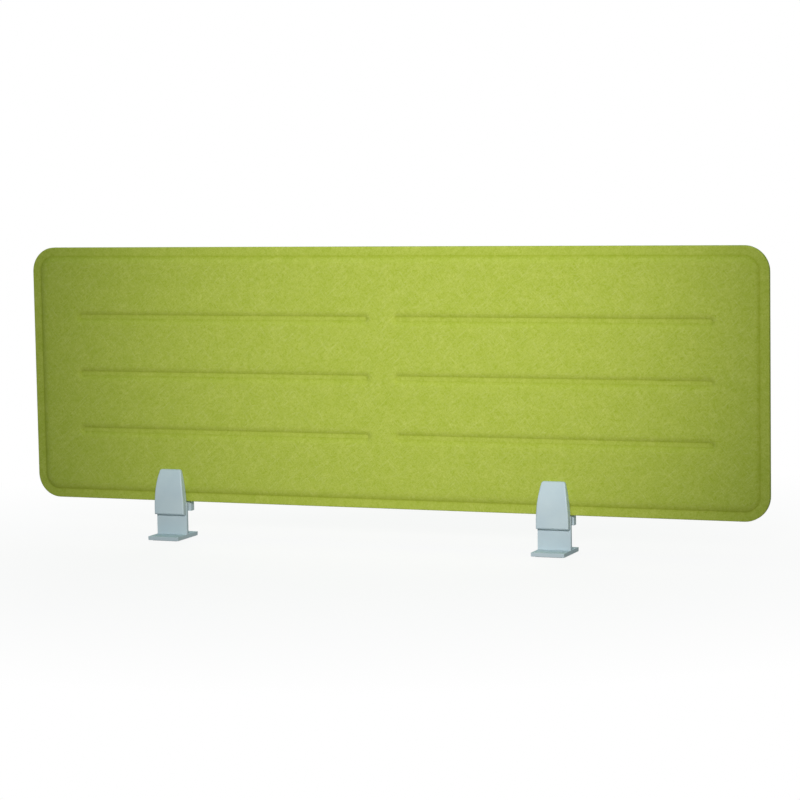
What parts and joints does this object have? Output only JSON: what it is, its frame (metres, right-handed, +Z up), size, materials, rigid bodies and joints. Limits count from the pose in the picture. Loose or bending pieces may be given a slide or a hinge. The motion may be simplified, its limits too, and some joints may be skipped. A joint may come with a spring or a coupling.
{
  "type": "desk privacy panel",
  "caption": "Long low desk screen of pressed green felt with rounded corners and sunk grooves, held upright on a desk by painted clamp feet.",
  "frame": {"origin": "on the desk top, midway along the panel and in the middle plane of the feet's upright webs, which is the centre of the feet's depth", "axes": "+Z up, +X along the panel to the right seen from its front, and the front of the panel faces -Y"},
  "size_m": [1.2, 0.0708, 0.459],
  "materials": {
    "felt": "pressed polyester felt, matt, fine fibres",
    "core": "raw fibreboard",
    "bond_film": "thin heat-bonding film",
    "painted_casting": "satin pale blue-grey powder coat",
    "grip_rubber": "matt moulded rubber",
    "foot_foam": "matt closed-cell foam rubber",
    "zinc_steel": "bright zinc-plated steel"
  },
  "bodies": {
    "panel": {"front_felt_shell": "felt", "rear_felt_shell": "felt", "core_board": "core", "rim_bond_film": "bond_film"},
    "left_bracket": {"left_stand": "painted_casting", "left_front_jaw": "painted_casting", "left_front_grip_pad": "grip_rubber", "left_clamp_nuts": "zinc_steel", "left_foot_pad": "foot_foam"},
    "left_rear_clamp": {"left_rear_jaw": "painted_casting", "left_rear_grip_pad": "grip_rubber"},
    "left_screw_1": {"left_clamp_screw_1": "zinc_steel"},
    "left_screw_2": {"left_clamp_screw_2": "zinc_steel"},
    "right_bracket": {"right_stand": "painted_casting", "right_front_jaw": "painted_casting", "right_front_grip_pad": "grip_rubber", "right_clamp_nuts": "zinc_steel", "right_foot_pad": "foot_foam"},
    "right_rear_clamp": {"right_rear_jaw": "painted_casting", "right_rear_grip_pad": "grip_rubber"},
    "right_screw_1": {"right_clamp_screw_1": "zinc_steel"},
    "right_screw_2": {"right_clamp_screw_2": "zinc_steel"}
  },
  "joints": [
    {"name": "left_bracket_slide", "type": "slide", "parent": "panel", "child": "left_bracket", "axis": [1, 0, 0], "range_m": [-0.175, 0.33]},
    {"name": "left_jaw_slide", "type": "slide", "parent": "left_bracket", "child": "left_rear_clamp", "axis": [0, 1, 0], "range_m": [0, 0.004]},
    {"name": "left_screw_1_turn", "type": "hinge", "parent": "left_rear_clamp", "child": "left_screw_1", "pos_m": [-0.37, 0.02, 0.0505], "axis": [0, 1, 0], "range_deg": [0, 1800]},
    {"name": "left_screw_2_turn", "type": "hinge", "parent": "left_rear_clamp", "child": "left_screw_2", "pos_m": [-0.35, 0.02, 0.0505], "axis": [0, 1, 0], "range_deg": [0, 1800]},
    {"name": "right_bracket_slide", "type": "slide", "parent": "panel", "child": "right_bracket", "axis": [1, 0, 0], "range_m": [-0.244, 0.261]},
    {"name": "right_jaw_slide", "type": "slide", "parent": "right_bracket", "child": "right_rear_clamp", "axis": [0, 1, 0], "range_m": [0, 0.004]},
    {"name": "right_screw_1_turn", "type": "hinge", "parent": "right_rear_clamp", "child": "right_screw_1", "pos_m": [0.264, 0.02, 0.0505], "axis": [0, 1, 0], "range_deg": [0, 1800]},
    {"name": "right_screw_2_turn", "type": "hinge", "parent": "right_rear_clamp", "child": "right_screw_2", "pos_m": [0.284, 0.02, 0.0505], "axis": [0, 1, 0], "range_deg": [0, 1800]}
  ],
  "couplings": [
    {"joint": "left_screw_1_turn", "follows": "left_jaw_slide", "rad_per_m": 7854},
    {"joint": "left_screw_2_turn", "follows": "left_jaw_slide", "rad_per_m": 7854},
    {"joint": "right_screw_1_turn", "follows": "right_jaw_slide", "rad_per_m": 7854},
    {"joint": "right_screw_2_turn", "follows": "right_jaw_slide", "rad_per_m": 7854}
  ]
}
